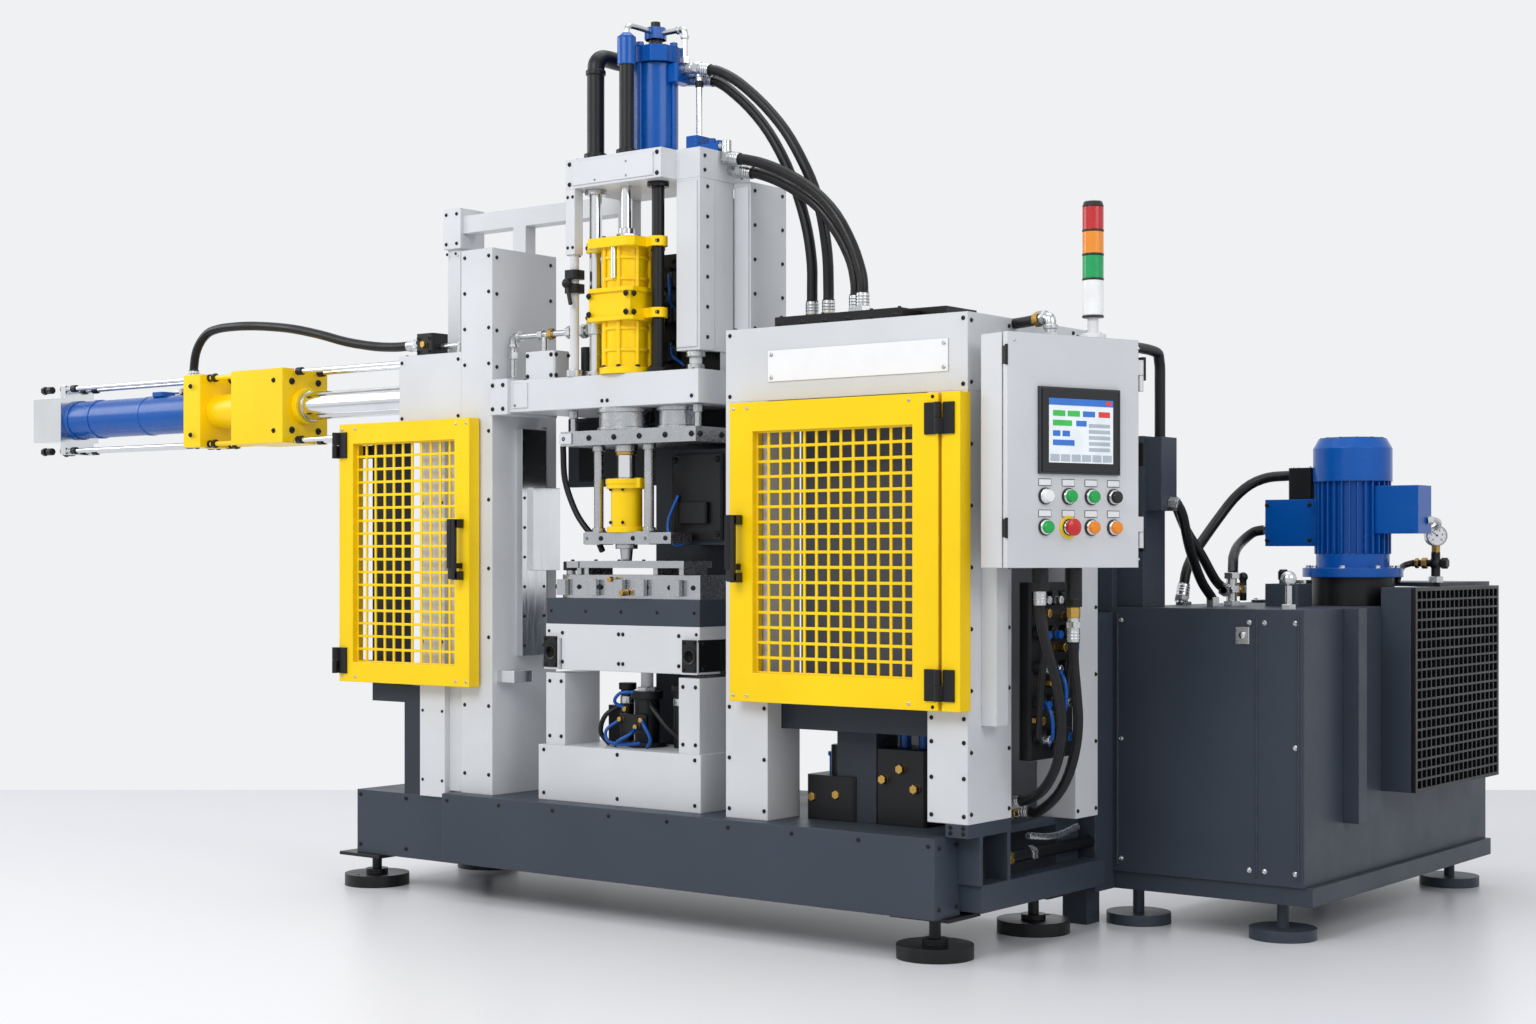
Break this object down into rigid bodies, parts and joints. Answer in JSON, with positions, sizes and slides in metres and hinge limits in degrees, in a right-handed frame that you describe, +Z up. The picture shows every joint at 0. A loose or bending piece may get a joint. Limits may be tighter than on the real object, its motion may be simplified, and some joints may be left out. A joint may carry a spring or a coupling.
{
  "type": "core shooter",
  "caption": "Core shooting machine: press frame with a shoot head between two guarded bays, side ram, control box and hydraulic unit.",
  "frame": {"origin": "on the floor, at the centre of the machine feet's anchor holes, under the shoot axis", "axes": "+Z up, -Y out of the front where the guard doors are, +X towards the control box"},
  "size_m": [4.712, 2.2918, 2.574],
  "materials": {
    "grey_paint": "satin powder coat",
    "dark_paint": "satin powder coat",
    "yellow_paint": "satin powder coat",
    "blue_paint": "gloss enamel",
    "black_metal": "matt black",
    "bright_steel": "polished",
    "machined_steel": "machined",
    "panel_plastic": "matt",
    "lamp_plastic": "translucent gloss"
  },
  "bodies": {
    "machine": {"base_beams": "dark_paint", "base_deck": "dark_paint", "base_left_wing": "dark_paint", "base_right_end": "dark_paint", "machine_feet": "black_metal", "right_bay_posts": "grey_paint", "right_bay_top": "grey_paint", "right_bay_panels": "grey_paint", "dark_frames": "dark_paint", "hinge_strip": "yellow_paint", "hinge_pins": "black_metal", "left_bay": "grey_paint", "left_column": "grey_paint", "rear_strut": "grey_paint", "yoke_beam": "grey_paint", "crosshead": "grey_paint", "guide_columns": "bright_steel", "tower_posts": "grey_paint", "valve_boxes": "black_metal", "top_cylinder": "blue_paint", "riser_pipes": "black_metal", "blow_unit": "machined_steel", "blow_cylinder": "yellow_paint", "blow_rods": "machined_steel", "rear_panels": "black_metal", "pedestal": "grey_paint", "lift_cylinder": "black_metal", "ram_frame": "bright_steel", "ram_barrel": "blue_paint", "ram_bracket": "yellow_paint", "control_box": "grey_paint", "control_arms": "grey_paint", "stack_light": "lamp_plastic", "tank": "dark_paint", "tank_skid": "dark_paint", "hpu_pillars": "dark_paint", "cooler_box": "dark_paint", "cooler_grille": "black_metal", "drive_motor": "blue_paint", "pump_fittings": "black_metal"},
    "left_guard_door": {"left_door": "yellow_paint", "left_door_fittings": "black_metal"},
    "right_guard_door": {"right_door": "yellow_paint", "right_door_fittings": "black_metal"},
    "control_panel_door": {"control_door": "grey_paint", "operator_panel": "panel_plastic"},
    "shoot_head_unit": {"shoot_head": "yellow_paint", "shoot_rod": "bright_steel"},
    "lift_table": {"table": "grey_paint", "platen": "dark_paint", "core_box": "machined_steel"}
  },
  "joints": [
    {"name": "left_door_hinge", "type": "hinge", "parent": "machine", "child": "left_guard_door", "pos_m": [-1.101, -0.369, 1.039], "axis": [0, 0, -1], "range_deg": [0, 110]},
    {"name": "right_door_hinge", "type": "hinge", "parent": "machine", "child": "right_guard_door", "pos_m": [1.134, -0.369, 1.039], "axis": [0, 0, 1], "range_deg": [0, 110]},
    {"name": "control_door_hinge", "type": "hinge", "parent": "machine", "child": "control_panel_door", "pos_m": [1.46912, 0.06522, 1.289], "axis": [0, 0, 1], "range_deg": [0, 105]},
    {"name": "shoot_head_slide", "type": "slide", "parent": "machine", "child": "shoot_head_unit", "axis": [0, 0, 1], "range_m": [0, 0.1]},
    {"name": "table_lift", "type": "slide", "parent": "machine", "child": "lift_table", "axis": [0, 0, 1], "range_m": [0, 0.02]}
  ]
}
